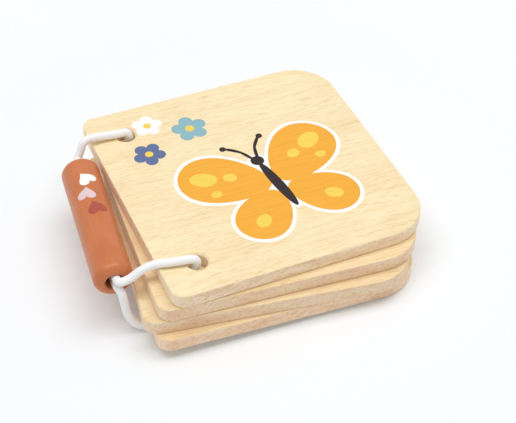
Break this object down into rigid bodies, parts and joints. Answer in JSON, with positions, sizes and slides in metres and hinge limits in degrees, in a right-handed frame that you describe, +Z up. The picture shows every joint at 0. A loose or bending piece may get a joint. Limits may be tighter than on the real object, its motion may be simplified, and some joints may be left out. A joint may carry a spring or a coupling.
{
  "type": "wooden board book",
  "caption": "Baby's board book of square wooden pages bound by a loop of round elastic cord, with a turned wooden carrying handle along the spine.",
  "frame": {"origin": "middle of the base of the closed book's box, on the table", "axes": "+X from the spine to the fore edge, square to the back cover; +Y along the spine to the far edge; +Z up"},
  "size_m": [0.1458, 0.134, 0.0352],
  "materials": {
    "board_wood": "fine sanded, plain",
    "handle_wood": "satin paint",
    "cord_cover": "braided"
  },
  "bodies": {
    "back": {"back_cover": "board_wood", "elastic_cord": "cord_cover"},
    "rear_leaf": {"rear_page": "board_wood"},
    "front_leaf": {"front_page": "board_wood"},
    "cover": {"front_cover": "board_wood"},
    "handle": {"handle": "handle_wood"}
  },
  "joints": [
    {"name": "rear_page_turn", "type": "hinge", "parent": "back", "child": "rear_leaf", "pos_m": [-0.06282, -0.00169, 0.02486], "axis": [-0.0471, -0.9989, 0.0018], "range_deg": [0, 180], "deforming": ["elastic_cord"]},
    {"name": "front_page_turn", "type": "hinge", "parent": "rear_leaf", "child": "front_leaf", "pos_m": [-0.06282, -0.00169, 0.02486], "axis": [-0.0471, -0.9989, 0.0018], "range_deg": [0, 180], "deforming": ["elastic_cord"]},
    {"name": "front_cover_turn", "type": "hinge", "parent": "front_leaf", "child": "cover", "pos_m": [-0.06282, -0.00169, 0.02486], "axis": [-0.0471, -0.9989, 0.0018], "range_deg": [0, 180], "deforming": ["elastic_cord"]},
    {"name": "handle_spin", "type": "hinge", "parent": "back", "child": "handle", "pos_m": [-0.06282, -0.00169, 0.02486], "axis": [-0.0471, -0.9989, 0.0018], "continuous": true}
  ]
}
